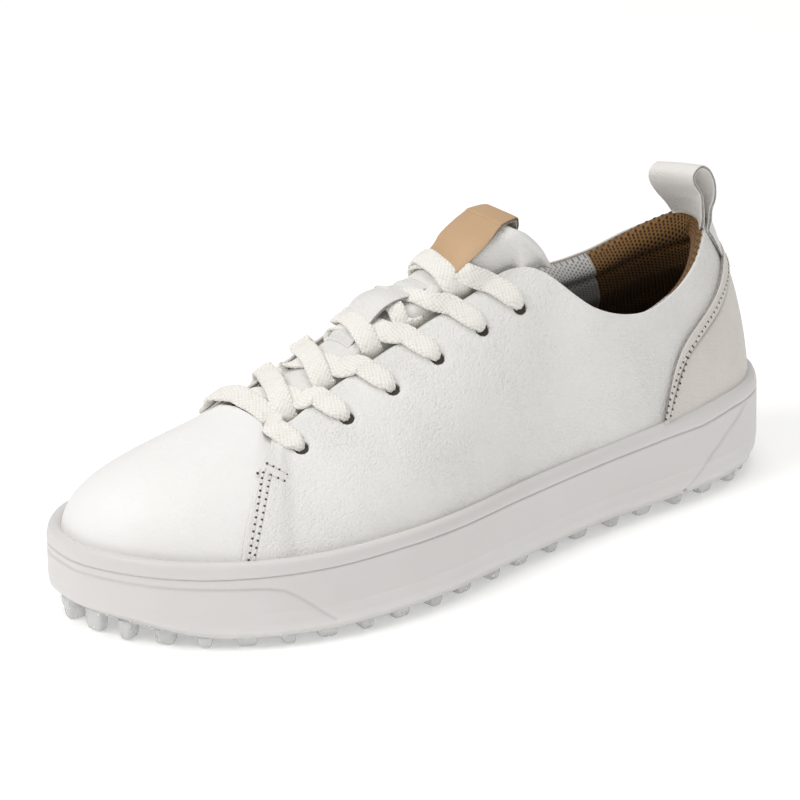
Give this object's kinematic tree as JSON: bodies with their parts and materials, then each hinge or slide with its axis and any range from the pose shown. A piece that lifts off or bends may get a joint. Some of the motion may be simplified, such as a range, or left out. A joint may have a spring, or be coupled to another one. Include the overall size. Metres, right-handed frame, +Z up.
{
  "type": "golf shoe",
  "caption": "Low leather golf shoe with a lugged cupsole, crossed flat laces, a folding tongue top and a pull loop at the heel.",
  "frame": {"origin": "on the ground under the middle of the shoe's box", "axes": "+X from heel to toe, +Y towards the outer side of the left foot, +Z up"},
  "size_m": [0.3064, 0.114, 0.125],
  "materials": {
    "lug_rubber": "satin",
    "cup_foam": "satin",
    "board": "matte",
    "sock_fabric": "matte",
    "white_leather": "satin",
    "grey_leather": "satin",
    "tan_leather": "satin",
    "stiffener": "matte",
    "padding": "matte",
    "grey_mesh": "matte",
    "brown_mesh": "matte",
    "lace_weave": "matte",
    "aglet_film": "gloss"
  },
  "bodies": {
    "shoe": {"outsole_plate": "lug_rubber", "midsole_cup": "cup_foam", "strobel_board": "board", "sockliner": "sock_fabric", "vamp": "white_leather", "quarter_outer": "white_leather", "quarter_inner": "white_leather", "heel_panel": "grey_leather", "toe_puff": "stiffener", "heel_counter": "stiffener", "eyestay_backing_outer": "stiffener", "eyestay_backing_inner": "stiffener", "collar_foam": "padding", "front_lining": "grey_mesh", "heel_lining": "brown_mesh", "tongue": "white_leather", "tongue_lining": "grey_mesh", "tongue_lace_keeper": "white_leather", "pull_tab_back_leg": "grey_leather", "pull_tab_front_leg": "grey_leather", "lace": "lace_weave", "aglet_outer": "aglet_film", "aglet_inner": "aglet_film"},
    "tongue_top": {"tongue_flap": "white_leather", "tongue_flap_foam": "padding", "tongue_flap_lining": "grey_mesh", "tongue_label": "tan_leather"},
    "pull_loop": {"pull_tab_loop": "grey_leather"}
  },
  "joints": [
    {"name": "tongue_fold", "type": "hinge", "parent": "shoe", "child": "tongue_top", "pos_m": [-0.0263, -0.0035, 0.1164], "axis": [0, 1, 0], "range_deg": [0, 50], "stiffness_Nm_per_rad": 0.02, "springref_deg": -11.46},
    {"name": "loop_swing", "type": "hinge", "parent": "shoe", "child": "pull_loop", "pos_m": [-0.1344, -0.0025, 0.0985], "axis": [0, 1, 0], "range_deg": [-35, 35], "stiffness_Nm_per_rad": 0.02}
  ]
}
